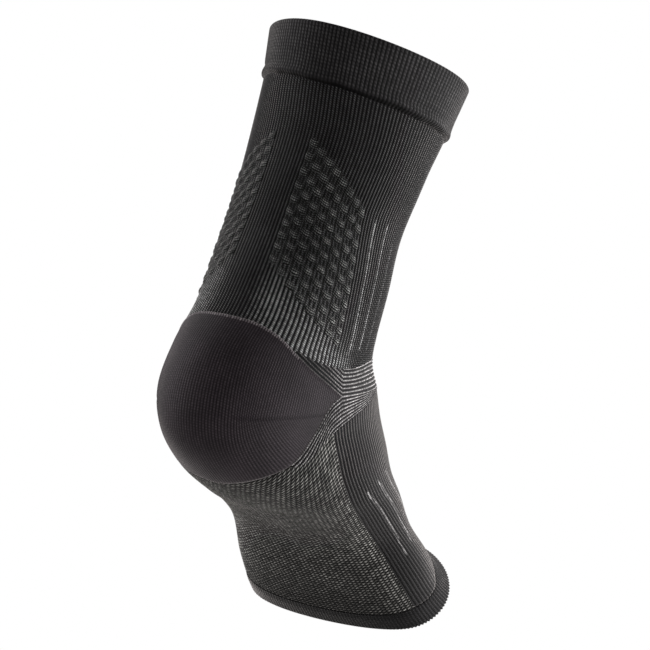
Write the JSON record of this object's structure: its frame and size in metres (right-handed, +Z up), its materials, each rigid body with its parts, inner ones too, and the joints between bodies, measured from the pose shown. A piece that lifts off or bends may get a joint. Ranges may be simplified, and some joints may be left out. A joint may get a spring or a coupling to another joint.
{
  "type": "arch and ankle support sleeve",
  "caption": "Open-toe knitted compression sleeve for the right ankle and arch, with cuff, side pads, heel pocket, ribbed gusset and mesh sole.",
  "frame": {"origin": "centre of the ankle, inside the hollow of the sleeve, midway between the ankle bones", "axes": "+Z up the leg through the cuff, +Y forwards to the toes, +X outwards to the little-toe side of a right foot"},
  "size_m": [0.0949, 0.1909, 0.2265],
  "materials": {
    "welt_knit": "double fine knit, matt charcoal",
    "rib_knit": "fine ribbed compression knit, matt near-black",
    "nub_knit": "raised nubs of grey yarn on near-black knit",
    "heel_knit": "smooth close knit, warm near-black",
    "gusset_knit": "rows of light grey yarn over black grooves",
    "instep_knit": "deep ribbed knit, matt near-black",
    "mesh_knit": "open tuck-stitch mesh with grey dots"
  },
  "bodies": {
    "root": {"cuff_band": "welt_knit", "leg_tube": "rib_knit", "side_pad_outer": "nub_knit", "side_pad_inner": "nub_knit", "heel_pocket": "heel_knit", "ankle_gusset": "gusset_knit", "instep_panel": "instep_knit", "sole_panel": "mesh_knit", "toe_hem": "welt_knit"}
  },
  "joints": []
}
